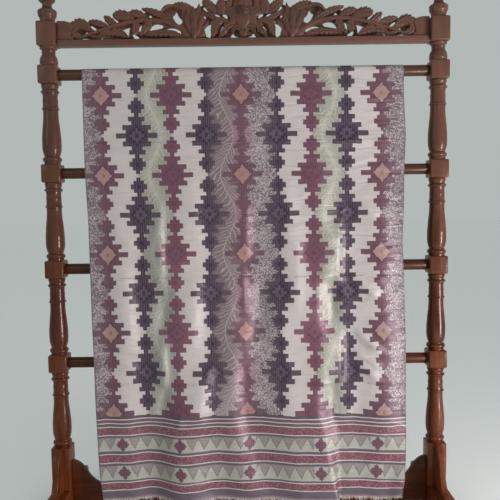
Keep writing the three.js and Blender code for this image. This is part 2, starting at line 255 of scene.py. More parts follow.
def in_steps(shader, value, rows, interpolation="CONSTANT"):
    """A colour or number that changes along a value from 0 to 1; a row is a start and a colour."""
    colour_out = add_node(shader, "ValToRGB", "Color", {"Fac": value})
    ramp = colour_out.node.color_ramp
    ramp.interpolation = interpolation
    while len(ramp.elements) < len(rows):
        ramp.elements.new(1.0)
    for element, (start, colour) in zip(ramp.elements, rows):
        element.position = start
        element.color = colour if isinstance(colour, tuple) else (colour, colour, colour, 1)
    return colour_out


def lacquered_wood(name, across_grain, polish=0.22, dust=0.0, tone=1.0):
    """Red-brown hardwood under lacquer, with its grain along the axis that is stretched least.

    It is rubbed pale on edges; towards the foot it is painted brighter and redder as painted light,
    towards the top greyer as a painted reflection, and in hollows darker as painted shade.
    """
    finish, shader = start_finish(name)
    put = partial(add_node, shader)

    def ranged(value, start, end, low=0.0, high=1.0):
        """A value brought from one range to another."""
        ends = {"From Min": start, "From Max": end, "To Min": low, "To Max": high}
        return put("MapRange", "Result", {"Value": value, **ends})

    def toned(factor, under, over, blend="MIX"):
        """One colour over another, or multiplied with it."""
        colours = {"Factor": factor, "A": under, "B": over}
        return put("Mix", "Result", colours, data_type="RGBA", blend_type=blend)

    place = put("TexCoord", "Object", {})
    height = put("SeparateXYZ", "Z", {"Vector": place})
    sharpness = put("NewGeometry", "Pointiness", {})
    stretched = put("Mapping", "Vector", {"Vector": place, "Scale": across_grain})
    figure_look = {"Scale": 26, "Detail": 6, "Roughness": 0.62, "Distortion": 0.9}
    figure = put("TexNoise", "Fac", {"Vector": stretched, **figure_look})
    pores = put("TexNoise", "Fac", {"Vector": stretched, "Scale": 310, "Detail": 3})
    wood_tones = [
        (0.30, (0.032, 0.0070, 0.0028, 1)),
        (0.50, (0.070, 0.0165, 0.0058, 1)),
        (0.72, (0.122, 0.0300, 0.0105, 1)),
    ]
    rubbed_tone = (0.22, 0.070, 0.028, 1)
    painted_light_at_foot = (1.60, 1.46, 1.15, 1)
    dust_and_reflection_tone = (0.180, 0.110, 0.088, 1)
    painted_hollow_shade = 0.30
    colour = in_steps(shader, figure, wood_tones, "LINEAR")
    colour = toned(1, colour, ranged(pores, 0.36, 0.52, low=0.68), "MULTIPLY")
    colour = toned(ranged(sharpness, 0.52, 0.62, high=0.42), colour, rubbed_tone)
    # Painted light: the wood is made brighter and redder towards the foot.
    colour = toned(ranged(height, 0.62, 0.25), colour, painted_light_at_foot, "MULTIPLY")
    # Greyer towards the top as a painted reflection, laid over the dust that the dust setting adds at
    # every height.
    colour = toned(ranged(height, 0.75, 1.55, low=dust, high=dust + 0.30), colour, dust_and_reflection_tone)
    # Painted shade: darker in hollows, and the whole wood darker by its tone.
    hollow_shade_and_tone = ranged(sharpness, 0.40, 0.49, low=painted_hollow_shade * tone, high=tone)
    colour = toned(1, colour, hollow_shade_and_tone, "MULTIPLY")
    relief = put("Bump", "Normal", {"Height": pores, "Strength": 0.12, "Distance": 0.0006})
    lacquer = {"Coat Weight": polish, "Coat Roughness": 0.10, "Coat IOR": 1.5, "Specular IOR Level": 0.11}
    roughness = ranged(figure, 0.3, 0.7, low=0.30, high=0.46)
    feed(shader, {"Base Color": colour, "Roughness": roughness, "Normal": relief, **lacquer})
    return finish


wood_front_to_back = lacquered_wood("wood_front_to_back", (1, 0.07, 1))
runner_end = runner_length / 2
runner_outline = [(-runner_end, 0), (runner_end, 0), (runner_end, runner_toe_height)]
curve_to(runner_outline, (runner_end, runner_height), (runner_end - runner_toe, runner_height))
runner_outline.append((runner_toe - runner_end, runner_height))
curve_to(runner_outline, (-runner_end, runner_height), (-runner_end, runner_toe_height))
runner_left = sawn_board("runner_foot_left", runner_outline, post_side)
set_in_place(runner_left, (-post_span / 2, 0, 0), turn=90)
ease_edges(runner_left, runner_easing)
runner_right = copy_of(runner_left, "runner_foot_right")
set_in_place(runner_right, (post_span, 0, 0))
fit(runner_left, "runner_left", wood_front_to_back)
fit(runner_right, "runner_right", wood_front_to_back)


# Brackets
# Four curved fins brace the posts along their runners, before and behind. Each is fretted from one
# board with its grain upright, and its swept edge is rounded over.
bracket_thickness = 0.020
bracket_top_reach = 0.022
bracket_top_height = 0.222
bracket_foot = runner_height + gap
bracket_easing = 0.0022
# Each row is the bend and the end of one curve.
bracket_sweep = [
    ((0.048, 0.206), (0.054, 0.172)),
    ((0.062, 0.104), (0.088, 0.088)),
    ((0.104, 0.078), (0.132, 0.078)),
]
wood_upright = lacquered_wood("wood_upright", (1, 1, 0.07), polish=0.30)
bracket_outline = [(0, bracket_foot), (0, bracket_top_height), (bracket_top_reach, bracket_top_height)]
for bend, end in bracket_sweep:
    curve_to(bracket_outline, bend, end)
bracket_outline.append((bracket_outline[-1][0], bracket_foot))
bracket_pattern = sawn_board("bracket_pattern", bracket_outline, bracket_thickness)
ease_edges(bracket_pattern, bracket_easing)
for side, side_name in ((-1, "left"), (1, "right")):
    for end, end_name in ((-1, "front"), (1, "back")):
        bracket = copy_of(bracket_pattern, f"bracket_fin_{side_name}_{end_name}")
        set_in_place(bracket, (side * post_span / 2, end * (post_side / 2 + gap), 0), turn=90 * end)
        fit(bracket, f"bracket_{side_name}_{end_name}", wood_upright)
bpy.data.objects.remove(bracket_pattern)


# Posts
# Each post is one length of hardwood, turned on a lathe between square blocks that are left for the
# joints. The same baluster, with beads, a long swell and a ring, comes four times, then a short vase
# under the head block and a finial on top.
rod_levels = (1.468, 1.147, 0.828, 0.509)
joint_block = 0.060
base_block_top = 0.220
head_block_bottom = 1.558
head_block_top = 1.637
block_easing = 0.0058
base_easing = 0.0020
turning_sides = 56
turning_sunk = 0.004
turning_weld = 2e-5
turning_smooth = 38
smallest_step = 1e-6
bow_steps = 7


def metres(charted):
    """Sizes that are charted in millimetres, in metres."""
    if isinstance(charted, (list, tuple)):
        return [metres(part) for part in charted]
    return charted / 1000


# Each row of a turning is its drop from the top, its radius there and the bow of the run below it.
baluster = metres([
    (0, 26.2, 1.8), (11.5, 26.2, -0.4), (20, 25.4, 0), (20.4, 26.8, 3.2), (29, 26.8, 0),
    (29.4, 25.2, -1.2), (52, 24.8, -0.8), (77, 25.6, 0), (77.2, 26.4, 1.8), (82.6, 26.4, 0),
    (82.8, 24.6, -1), (130, 26.8, 0.3), (162, 29.6, 0.6), (190, 30.9, 0.4), (208, 30.6, 0.7),
    (223, 28.2, 0.6), (232, 25.2, -0.8), (237, 25.6, 0), (237.2, 26.6, 4.4), (253, 26.6, 0),
    (259, 26.2, 0),
])
vase = metres([
    (0, 27.2, 1), (7, 26.6, -3), (16, 22.6, -1.6), (28, 23.6, 1.2), (44, 28.8, 1.2), (56, 27.6, 0.4),
    (62, 27, 0),
])
finial = metres([
    (0, 24.6, -1.2), (-16, 26.2, 0), (-17.5, 27.6, 1.2), (-30, 30, 1.2), (-38, 29, -4.6),
    (-55, 15.6, -1.6), (-62.5, 16.6, 0), (-63, 20, 3), (-75.5, 25.8, 2), (-92, 22, 1.2),
    (-108, 12.2, -1), (-120, 7, 1.6), (-128, 0, 0),
])


def turned_profile(rows, top):
    """Points (radius, height) down a turning; the run after a row swells or hollows by its bow."""
    points = []
    for (drop, radius, bow), (next_drop, next_radius, _) in zip(rows, rows[1:]):
        bend = ((radius + next_radius) / 2 + 2 * bow, top - (drop + next_drop) / 2)
        run = [(radius, top - drop)]
        curve_to(run, bend, (next_radius, top - next_drop), steps=bow_steps if bow else 1)
        points += run[:-1]
    points.append((next_radius, top - next_drop))
    return points


def turned_piece(name, profile):
    """A turning, drawn point by point from axis to axis and spun once round."""
    start = (0, 0, profile[0][1])
    piece = added(bpy.ops.mesh.primitive_plane_add, location=start)
    piece.name = name
    bpy.ops.object.transform_apply()
    bpy.ops.object.mode_set(mode="EDIT")
    bpy.ops.mesh.select_all(action="SELECT")
    bpy.ops.mesh.merge(type="CENTER")
    last_radius, last_height = 0.0, profile[0][1]
    for radius, height in [*profile, (0.0, profile[-1][1])]:
        step = (radius - last_radius, 0, height - last_height)
        if Vector(step).length > smallest_step:
            bpy.ops.mesh.extrude_vertices_move(TRANSFORM_OT_translate={"value": step})
        last_radius, last_height = radius, height
    bpy.ops.mesh.select_all(action="SELECT")
    bpy.ops.mesh.spin(steps=turning_sides, angle=math.tau, center=(0, 0, 0), axis=(0, 0, 1))
    bpy.ops.mesh.select_all(action="SELECT")
    bpy.ops.mesh.remove_doubles(threshold=turning_weld)
    bpy.ops.object.mode_set(mode="OBJECT")
    face_outwards(piece)
    bpy.ops.object.shade_smooth_by_angle(angle=math.radians(turning_smooth))
    return piece


def box(name, size, middle, easing):
    """A squared length of wood, its arrises taken off."""
    block = added(bpy.ops.mesh.primitive_cube_add, size=1, location=middle)
    block.name = name
    block.scale = size
    bpy.ops.object.transform_apply()
    ease_edges(block, easing)
    return block


def joined(name, pieces):
    """Several pieces made into one."""
    work_on(*pieces)
    bpy.ops.object.join()
    return named(bpy.context.object, name)


block_levels = [(bracket_foot, base_block_top)]
block_levels += [(level - joint_block / 2, level + joint_block / 2) for level in reversed(rod_levels)]
block_levels.append((head_block_bottom, head_block_top))
post_parts = []
for bottom, top in block_levels:
    easing = block_easing if post_parts else base_easing
    block_size = (post_side, post_side, top - bottom)
    post_parts.append(box("block", block_size, (0, 0, (bottom + top) / 2), easing))
block_pairs = zip(block_levels[:-2], block_levels[1:-1])
turnings = [(baluster, upper[0], lower[1]) for lower, upper in block_pairs]
turnings.append((vase, head_block_bottom, block_levels[-2][1]))
for rows, top, bottom in turnings:
    sunk_top = (rows[0][1], top + turning_sunk)
    sunk_bottom = (rows[-1][1], bottom - turning_sunk)
    post_parts.append(turned_piece("turning", [sunk_top, *turned_profile(rows, top), sunk_bottom]))
finial_foot = (finial[0][1], head_block_top - turning_sunk)
post_parts.append(turned_piece("finial", [finial_foot, *turned_profile(finial, head_block_top)]))
post_left = joined("turned_post_left", post_parts)
set_in_place(post_left, (-post_span / 2, 0, 0))
post_right = copy_of(post_left, "turned_post_right")
set_in_place(post_right, (post_span, 0, 0))
fit(post_left, "post_left", wood_upright)
fit(post_right, "post_right", wood_upright)


# Rods
# Four plain round rods run between the joint blocks, each end cut down to a short tenon that is
# glued into its block. The cloth hangs over the top one.
rod_radius = 0.018
rod_sides = 48
rod_length = post_span - post_side - 2 * gap
rod_easing = 0.0010
tenon_inset = 0.004
tenon_length = 0.003
end_facing = 0.9
wood_level = lacquered_wood("wood_level", (0.07, 1, 1), polish=0.12, tone=0.68)
cylinder = bpy.ops.mesh.primitive_cylinder_add
rod_pattern = added(cylinder, vertices=rod_sides, radius=rod_radius, depth=rod_length)
rod_pattern.rotation_euler.y = math.radians(90)
bpy.ops.object.transform_apply()
bpy.ops.object.mode_set(mode="EDIT")
bpy.ops.mesh.select_mode(type="FACE")
for end in (-1, 1):
    bpy.ops.mesh.select_all(action="DESELECT")
    bpy.ops.object.mode_set(mode="OBJECT")
    for face in rod_pattern.data.polygons:
        face.select = face.normal.x * end > end_facing
    bpy.ops.object.mode_set(mode="EDIT")
    bpy.ops.mesh.inset(thickness=tenon_inset)
    bpy.ops.mesh.extrude_region_move(TRANSFORM_OT_translate={"value": (end * tenon_length, 0, 0)})
bpy.ops.object.mode_set(mode="OBJECT")
ease_edges(rod_pattern, rod_easing, segments=2)
for number, level in enumerate(rod_levels, start=1):
    rod = copy_of(rod_pattern, f"round_rod_{number}")
    set_in_place(rod, (0, 0, level))
    fit(rod, f"rod_{number}", wood_level)
bpy.data.objects.remove(rod_pattern)


# Apron
# A shaped board low between the posts keeps the stand square. Its top edge sweeps down from a
# shoulder at each post in two curves and a small step to a long level middle.
apron_bottom = 0.012
apron_level = 0.070
apron_shoulder = 0.168
apron_thickness = 0.020
apron_easing = 0.0022
# Each row is the bend and the end of one curve.
apron_sweep = [
    ((0.580, 0.166), (0.556, 0.126)),
    ((0.536, 0.092), (0.510, 0.086)),
    ((0.500, 0.084), (0.492, apron_level)),
]
apron_right_side = [(rod_length / 2, apron_shoulder)]
for bend, end in apron_sweep:
    curve_to(apron_right_side, bend, end)
apron_left_side = [(-along, height) for along, height in reversed(apron_right_side)]
apron_outline = [(-rod_length / 2, apron_bottom), (rod_length / 2, apron_bottom)]
apron_outline += apron_right_side + apron_left_side
apron = sawn_board("apron_board", apron_outline, apron_thickness)
ease_edges(apron, apron_easing)
fit(apron, "apron", wood_level)


# Crest
# The head of the stand is one board, sawn through between its leaves and carved deep on its front,
# over a plain rail that is tenoned into the head blocks. From a broad flower with a beaded seed head
# in the middle, a leafy vine winds out on both sides past a flower of many petals to a plain stile.
# The back is left flat.
crest_base = head_block_bottom
rail_height = 0.020
rail_thickness = 0.035
rail_easing = 0.0024
ground_front = -0.001
board_front = 0.005
ground_back = 0.012
ground_overlap = 0.010
ground_easing = 0.0010
stile_front = -0.011
stile_set_forward = 0.0002
stile_easing = 0.0030
crest_middle = (0, 0.153)
half_rod = 500 * rod_length
# Outlines are places along the crest and heights above its foot, charted in millimetres.
crest_edge = metres([
    (39, 145), (70, 145), (82, 134), (96, 128), (123, 131), (142, 125), (165, 118), (192, 120),
    (221, 124), (249, 119), (264, 104), (288, 107), (308, 111), (331, 106), (362, 100), (395, 101),
    (411, 90), (407, 75), (424, 76), (439, 75), (444, 63), (459, 66), (483, 78), (518, 75), (537, 70),
    (550, 65), (562, 75), (580, 81), (half_rod, 81),
])
stile_edge = metres([
    (half_rod, 12), (half_rod, 82), (582, 82), (564, 77), (551, 66), (560, 52), (562, 36), (552, 26),
    (552, 12),
])
sawn_openings = metres([
    [(531, 30), (501, 27), (502, 20), (537, 17)],
    [(503, 68), (495, 70), (476, 53), (480, 48), (488, 53)], [(513, 53), (504, 39), (522, 38)],
    [(467, 31), (453, 27), (460, 21), (466, 24)], [(437, 52), (419, 57), (430, 49)],
    [(408, 44), (390, 58), (368, 63), (375, 49), (371, 29), (381, 39), (387, 49)],
    [(340, 65), (326, 75), (332, 58), (332, 47), (340, 42), (342, 54)],
    [(365, 43), (355, 39), (340, 29), (345, 23), (358, 26)],
    [(309, 50), (297, 69), (280, 73), (257, 66), (271, 52), (289, 50), (302, 46)],
    [(310, 93), (304, 104), (296, 91)],
    [(256, 49), (244, 59), (223, 58), (201, 47), (206, 36), (219, 45), (235, 49)],
    [(233, 98), (223, 99), (218, 113), (211, 94), (195, 80), (205, 63), (215, 67)],
    [(258, 99), (242, 112), (246, 104)],
    [(131, 122), (123, 125), (118, 113), (102, 105), (110, 103), (126, 111)],
    [(134, 91), (123, 98), (123, 87), (117, 79)], [(100, 102), (78, 100), (73, 86), (86, 89)],
    [(69, 101), (52, 100), (50, 82), (61, 88)],
    [(129, 51), (116, 66), (102, 70), (107, 48), (104, 24), (121, 24), (122, 39)],
    [(75, 48), (65, 65), (63, 56), (69, 48), (79, 36)], [(53, 41), (45, 53), (46, 44)],
    [(33, 42), (29, 30), (12, 27), (12, 19), (46, 19)], [(86, 21), (77, 28), (71, 20)],
    [(39, 118), (27, 139), (24, 131), (33, 118)],
])
pierced_places = metres([148, 167, 220, 258, 279, 293, 309, 321, 396, 409, 428])
saw_depth = 0.1
pierced_half = 0.0028
pierced_low = rail_height - 0.001
pierced_high = rail_height + 0.0035
# Each leaf is its root, bend and tip, half its width, how proud it stands, all in millimetres, and
# its number of lobes.
vine_leaves = [
    ((499, 53), (542, 94), (566, 38), 21.5, 11, 8), ((520, 29), (560, 33), (550, 64), 15.9, 9, 4),
    ((442, 62), (470, 76), (504, 81), 12.2, 9, 5), ((476, 42), (496, 58), (514, 52), 8.1, 7, 3),
    ((526, 30), (484, 50), (420, 63), 6, 11, 0), ((452, 56), (394, 76), (308, 85), 6.4, 12, 0),
    ((360, 78), (288, 92), (228, 66), 7.4, 12, 0), ((268, 80), (211, 68), (162, 26), 8.6, 12, 0),
    ((411, 58), (430, 79), (453, 97), 13.7, 9, 4), ((356, 72), (384, 106), (425, 98), 20.5, 10, 6),
    ((312, 80), (341, 108), (371, 106), 15.4, 9, 5), ((225, 68), (267, 106), (330, 119), 13.4, 10, 8),
    ((245, 76), (268, 98), (298, 108), 10.2, 8, 5), ((370, 28), (425, 64), (472, 35), 17.1, 10, 6),
    ((424, 23), (464, 27), (506, 36), 9.8, 8, 5), ((354, 82), (346, 59), (357, 36), 17.1, 10, 4),
    ((305, 86), (313, 58), (341, 35), 15.4, 10, 4), ((205, 35), (262, 48), (322, 34), 14.4, 10, 7),
    ((249, 36), (289, 46), (334, 46), 11.5, 8, 5), ((178, 24), (206, 30), (238, 26), 8.5, 8, 3),
    ((265, 106), (252, 134), (210, 124), 6, 13, 0), ((158, 104), (192, 131), (230, 127), 15.9, 9, 7),
    ((229, 68), (247, 82), (250, 114), 11.5, 8, 3), ((85, 101), (105, 127), (131, 142), 17.1, 9, 6),
    ((45, 73), (97, 88), (129, 108), 12, 10, 5), ((60, 79), (99, 78), (102, 23), 21.5, 11, 4),
    ((22, 64), (56, 71), (76, 22), 15.9, 11, 4), ((6, 40), (20, 70), (40, 38), 12.7, 12, 3),
    ((111, 26), (130, 32), (150, 24), 11, 8, 3),
]
# Petals are charted like leaves, without lobes.
bell_petals = metres([
    ((160, 40), (190, 76), (197, 122), 16.5, 7), ((158, 40), (130, 76), (124, 124), 16.5, 7),
    ((160, 44), (173, 88), (180, 133), 15, 10), ((158, 44), (146, 88), (142, 134), 15, 10),
    ((160, 22), (190, 36), (206, 74), 16.5, 11), ((158, 22), (128, 38), (113, 81), 16.5, 11),
    ((160, 50), (161, 88), (161, 124), 15, 14), ((160, 36), (184, 66), (188, 104), 12.5, 14),
    ((158, 36), (136, 68), (133, 106), 12.5, 14), ((160, 36), (160, 66), (160, 96), 13.5, 19),
    ((160, 26), (178, 52), (181, 81), 11, 18), ((158, 26), (141, 52), (139, 83), 11, 18),
    ((159, 18), (159, 42), (160, 66), 12, 22),
])
side_petals = metres([
    ((71, 98), (71, 123), (70, 157), 18.5, 12), ((54, 100), (44, 123), (42, 155), 13, 9),
    ((4, 100), (30, 105), (63, 107), 26.5, 12), ((6, 100), (31, 88), (43, 60), 17, 14),
])
centre_petals = metres([
    ((0, 86), (0, 124), (0, 168), 37, 9), ((0, 112), (0, 134), (0, 160), 20, 13),
    ((0, 104), (0, 76), (0, 46), 30, 18), ((0, 46), (0, 34), (0, 20), 15, 9),
])
seed_rise = 0.105
seed_half_width = 0.0225
seed_half_height = 0.0200
seed_proud = 0.0270
seed_rows = 3.5
bead_mean = 0.90
bead_relief = 0.16
leaf_cells = 8
leaf_steps = 14
lobe_steps = 4
leaf_sunk = 0.008
leaf_smooth = 58
stem_width = 0.16
lobe_cut = 0.24
lobe_curve = 0.7
groove_width = 0.2
narrowest = 0.02
flute_depth = 0.26
end_height = 0.55
thinnest = 0.14


def raised(outline):
    """An outline drawn from the foot of the crest, at its height on the stand."""
    return [(along, crest_base + rise) for along, rise in outline]


def softened(corners, rounds=2, corner_cut=0.25):
    """A closed outline with its corners cut off twice, as a fretsaw leaves them."""
    for _ in range(rounds):
        cut = []
        for here, there in zip(corners, corners[1:] + corners[:1]):
            cut.append(tuple(Vector(here).lerp(Vector(there), corner_cut)))
            cut.append(tuple(Vector(here).lerp(Vector(there), 1 - corner_cut)))
        corners = cut
    return corners


def carved_leaf(root, bend, tip, half, proud, lobes=0, petal=False):
    """A leaf or stem along a bent rib, cut into lobes and fluted, or a round-backed pointed petal."""
    steps = leaf_steps + lobe_steps * lobes
    roundness = 0.85 if petal else 0.6
    fall = 0.97 if petal else 0.84
    lobe_sweep = 0.55 if lobes else 0.0
    groove_depth = 0.34 if lobes else 0.16
    ridge_depth = 0.0 if lobes else 0.10
    leaf = added(bpy.ops.mesh.primitive_grid_add, x_subdivisions=steps, y_subdivisions=leaf_cells, size=2)
    root, bend, tip = Vector(root), Vector(bend), Vector(tip)
    for vertex in leaf.data.vertices:
        share = (vertex.co.x + 1) / 2
        across = vertex.co.y
        rib = root.lerp(bend, share).lerp(bend.lerp(tip, share), share)
        run = (bend - root).lerp(tip - bend, share).normalized()
        lobe = ((lobes * share) % 1) ** lobe_curve if lobes else 1
        spread = math.sin(math.pi * (stem_width + (1 - stem_width) * share)) ** roundness
        reach = half * max(spread, narrowest) * (1 - lobe_cut + lobe_cut * lobe)
        place = rib + Vector((-run.y, run.x)) * across * reach + run * abs(across) * reach * lobe_sweep
        dome = math.sqrt(max(0.0, 1 - fall * across * across))
        flute = flute_depth * (1 - lobe) * abs(across)
        groove = groove_depth * math.exp(-((across / groove_width) ** 2))
        ridge = ridge_depth * math.cos(3 * math.pi * across)
        cuts = ridge - flute - groove
        height = proud * (end_height + (1 - end_height) * spread) * max(thinnest, dome + cuts)
        vertex.co = (place.x, ground_front - height, crest_base + place.y)
    bpy.ops.object.mode_set(mode="EDIT")
    bpy.ops.mesh.select_all(action="SELECT")
    bpy.ops.mesh.extrude_region_move(TRANSFORM_OT_translate={"value": (0, 2 * proud, 0)})
    bpy.ops.transform.resize(value=(1, 0, 1), center_override=(0, ground_front + leaf_sunk, 0))
    bpy.ops.object.mode_set(mode="OBJECT")
    face_outwards(leaf)
    bpy.ops.object.shade_smooth_by_angle(angle=math.radians(leaf_smooth))
    return leaf


def mirrored(piece, name):
    """The same piece for the other side of the stand."""
    twin = copy_of(piece, name)
    work_on(twin)
    twin.scale.x = -1
    bpy.ops.object.transform_apply()
    bpy.ops.object.mode_set(mode="EDIT")
    bpy.ops.mesh.select_all(action="SELECT")
    bpy.ops.mesh.flip_normals()
    bpy.ops.object.mode_set(mode="OBJECT")
    return twin


def sawn_through(piece, cutter):
    """Takes the openings out of a piece."""
    work_on(piece)
    sawn = piece.modifiers.new("sawn", "BOOLEAN")
    sawn.operation = "DIFFERENCE"
    sawn.solver = "EXACT"
    sawn.object = cutter
    bpy.ops.object.modifier_apply(modifier=sawn.name)


openings = [softened(corners) for corners in sawn_openings]
for place in pierced_places:
    pierced_foot = [(place - pierced_half, pierced_low), (place + pierced_half, pierced_low)]
    openings.append([*pierced_foot, (place, pierced_high)])
saw_cuts = [sawn_board("saw_cut", raised(outline), saw_depth) for outline in openings]
cutter_right = joined("cutter_right", saw_cuts)
cutter_left = mirrored(cutter_right, "cutter_left")

crest_outline = [crest_middle, *crest_edge]
crest_outline += [(rod_length / 2, ground_overlap), (-rod_length / 2, ground_overlap)]
crest_outline += [(-along, rise) for along, rise in reversed(crest_edge)]
crest_ground = sawn_board("crest_ground", raised(crest_outline), ground_back - board_front)
set_in_place(crest_ground, (0, (board_front + ground_back) / 2, 0))
sawn_through(crest_ground, cutter_right)
sawn_through(crest_ground, cutter_left)
ease_edges(crest_ground, ground_easing, segments=2)
rail_size = (rod_length, rail_thickness, rail_height)
crest_rail = box("crest_rail", rail_size, (0, 0, crest_base + rail_height / 2), rail_easing)
half_crest = [carved_leaf(*metres(leaf), lobes) for *leaf, lobes in vine_leaves]
half_crest += [carved_leaf(*petal, petal=True) for petal in bell_petals + side_petals]
for carved in half_crest:
    sawn_through(carved, cutter_right)
stile = sawn_board("stile", raised(stile_edge), ground_back - stile_front)
set_in_place(stile, (0, (ground_back + stile_front) / 2 - stile_set_forward, 0))
ease_edges(stile, stile_easing)
right_half = joined("right_half", [*half_crest, stile])
left_half = mirrored(right_half, "left_half")
crest_parts = [crest_ground, crest_rail, right_half, left_half]
crest_parts += [carved_leaf(*petal, petal=True) for petal in centre_petals]
seeds = added(bpy.ops.mesh.primitive_uv_sphere_add, segments=48, ring_count=48, radius=1)
for vertex in seeds.data.vertices:
    bead_across = math.cos(math.pi * seed_rows * (vertex.co.x + vertex.co.z))
    bead_up = math.cos(math.pi * seed_rows * (vertex.co.x - vertex.co.z))
    vertex.co.y *= bead_mean + bead_relief * bead_across * bead_up
seeds.scale = (seed_half_width, seed_proud, seed_half_height)
seeds.location = (0, ground_front, crest_base + seed_rise)
bpy.ops.object.transform_apply()
bpy.ops.object.shade_smooth()
crest = joined("carved_crest", [*crest_parts, seeds])
bpy.data.objects.remove(cutter_right)
bpy.data.objects.remove(cutter_left)
carved_wood = lacquered_wood("carved_wood", (0.07, 1, 1), polish=0.10, dust=0.10)
fit(crest, "crest", carved_wood)


# Cloth
# One long cotton cloth, 1.05 by 2.5 metres, is laid over the top rod with its patterned end in front
# and hangs by its own weight. It falls in a few soft folds, still marked where it was folded flat
# for storage. Its rows of stepped diamonds and its striped border are dyed right through.
cloth_width = 1.05
cloth_length = 2.50
cloth_thickness = 0.0010
cloth_smooth = 60
cloth_middle_radius = rod_radius + 0.0010
top_rod = rod_levels[0]
hem_height = 0.051
left_edge = -0.528
front_drop = top_rod - hem_height
arch_length = math.pi * cloth_middle_radius
back_drop = cloth_length - front_drop - arch_length
border_drop = 1.145
cloth_columns = 188
front_rows = 212
arch_rows = 8
back_rows = 26
# Each row is a drop from the rod, how far the folds have formed there and how far the edge draws in.
hang = [
    (0.000, 0.00, 0.000), (0.200, 0.04, 0.000), (0.330, 0.22, 0.001), (0.480, 0.55, 0.009),
    (0.650, 0.66, 0.011), (0.810, 0.76, 0.013), (0.950, 0.88, 0.017), (1.060, 0.95, 0.018),
    (border_drop, 1.00, 0.020), (1.220, 1.00, 0.023), (1.300, 1.00, 0.025), (1.365, 1.00, 0.030),
    (front_drop, 1.00, 0.040),
]
# Each fold line is its place across and its depth at the border, and the same at the hem.
fold_lines = metres([
    (0, 18, 0, 26), (41, 13, 50, 20), (92, 17, 88, 18), (178, 0, 167, 0), (305, 34, 296, 50),
    (410, 20, 424, 15), (459, 24, 518, 33), (524, 6, 595, 24), (700, 37, 706, 48), (755, 40, 808, 50),
    (835, 18, 848, 20), (868, 17, 905, 22), (983, 40, 990, 31), (1050, 30, 1050, 50),
])
# Each crease is its place across, its drop, half its length, its reach on one side and on the other
# and its height, all in millimetres, and its lean in degrees.
creases = [
    (900, 226, 150, 11, 11, 4.1, 1), (380, 230, 300, 12, 12, 1.9, 0), (580, 440, 40, 10, 10, 4.1, -4),
    (130, 684, 70, 9, 9, 4.1, 2), (260, 682, 45, 9, 9, 7.4, 4), (370, 684, 60, 9, 9, 4.1, -2),
    (520, 690, 200, 11, 11, 2.2, 0), (800, 672, 50, 9, 9, 8.8, -5), (925, 680, 60, 9, 9, 5.4, -12),
    (800, 1022, 260, 8, 8, 4.1, 0), (280, 1026, 220, 8, 8, 2.7, 0), (236, 570, 120, 28, 11, 17, 90),
    (240, 772, 85, 15, 22, -10.4, 90), (236, 950, 78, 28, 10, 14.4, 90),
    (236, 1090, 55, 14, 15, -5.6, 90), (368, 1060, 95, 30, 18, 16, 78),
    (520, 520, 95, 26, 16, 12.8, 90), (514, 720, 75, 16, 10, 10.4, 92),
    (568, 765, 95, 18, 20, -10.4, 84), (512, 900, 80, 30, 19, 10.4, 90),
    (826, 595, 90, 40, 11, 17.6, 88), (806, 765, 80, 22, 15, -14.4, 90),
    (828, 945, 85, 40, 11, 17.6, 90), (806, 1090, 65, 26, 15, -13.6, 90),
    (930, 455, 40, 9, 9, 5.4, -25), (922, 712, 45, 9, 10, 9.9, -30), (925, 885, 50, 9, 11, 12.2, -40),
    (920, 945, 50, 9, 10, 10.7, -30), (926, 988, 45, 9, 10, 9.9, -38), (110, 530, 55, 12, 13, 6.1, -45),
    (118, 905, 50, 10, 12, 6.1, -20), (112, 960, 45, 10, 12, 5.4, -30),
    (640, 880, 160, 18, 18, 5.6, 94), (690, 640, 140, 22, 18, 5.6, 88), (290, 1150, 30, 8, 10, 5.4, 70),
    (345, 780, 120, 30, 18, 7.5, 86), (120, 760, 140, 30, 18, 6.5, 92), (660, 480, 150, 32, 20, 6, 90),
    (350, 450, 150, 32, 20, 5, 91),
]
# Each row is a drop and how far the right-hand edge stands out there.
right_edge = metres([
    (80, 0), (207, 7), (330, 1), (554, -8), (720, -2), (880, 3), (1150, 5), (1350, 4), (1417, 1),
])
edge_reach = 0.30
creases_formed = 0.12
corner_across = 0.985
corner_drop = 1.330
corner_rise = 0.012
lean_from = 0.300
lean_to = 1.250
lean_out = 0.014
back_wave_out = 0.012
back_waves = 3.5
back_edge_in = 0.016
hand_width = np.linspace(-0.05, 0.05, 11)
hang_drops, hang_formed, hang_edge_in = np.transpose(hang)
edge_drops, edge_outs = np.transpose(right_edge)
border_across, border_out, hem_across, hem_out = np.transpose(fold_lines)


def rounded(share):
    """Eases a share so that ridges and valleys come out round."""
    return (1 - np.cos(np.pi * np.clip(share, 0, 1))) / 2


def hang_at(values, drop):
    """A column of the hang table at a drop, softened over a hand's width."""
    return np.interp(np.clip(drop + hand_width, 0, front_drop), hang_drops, values).mean()


def folds_out(across, drop):
    """How far the front hangs out of the rod's plane in its main folds."""
    lower = min(max((drop - border_drop) / (front_drop - border_drop), 0), 1)
    at = border_across * (1 - lower) + hem_across * lower
    out = border_out * (1 - lower) + hem_out * lower
    after = np.clip(np.searchsorted(at, across, side="right"), 1, len(at) - 1)
    share = rounded((across - at[after - 1]) / (at[after] - at[after - 1]))
    return hang_at(hang_formed, drop) * (out[after - 1] * (1 - share) + out[after] * share)


def creases_out(across, drop):
    """How far the storage creases and drag lines lift the cloth."""
    lift = np.zeros_like(across)
    for *sizes, lean in creases:
        middle, crease_drop, half_length, before, after, height = metres(sizes)
        turn = math.radians(lean)
        aside = across - middle
        lower = drop - crease_drop
        along = (aside * math.cos(turn) - lower * math.sin(turn)) / half_length
        over = aside * math.sin(turn) + lower * math.cos(turn)
        over = over / np.where(over < 0, before, after)
        lift += height * np.exp(-(along**4)) * np.exp(-(over**2) / 2)
    return lift


def hung_row(out, left):
    """Places across a row that keeps its width along the folds."""
    step = cloth_width / cloth_columns
    run = np.sqrt(np.maximum(step**2 - np.diff(out) ** 2, 0))
    return left + np.concatenate([[0], np.cumsum(run)])


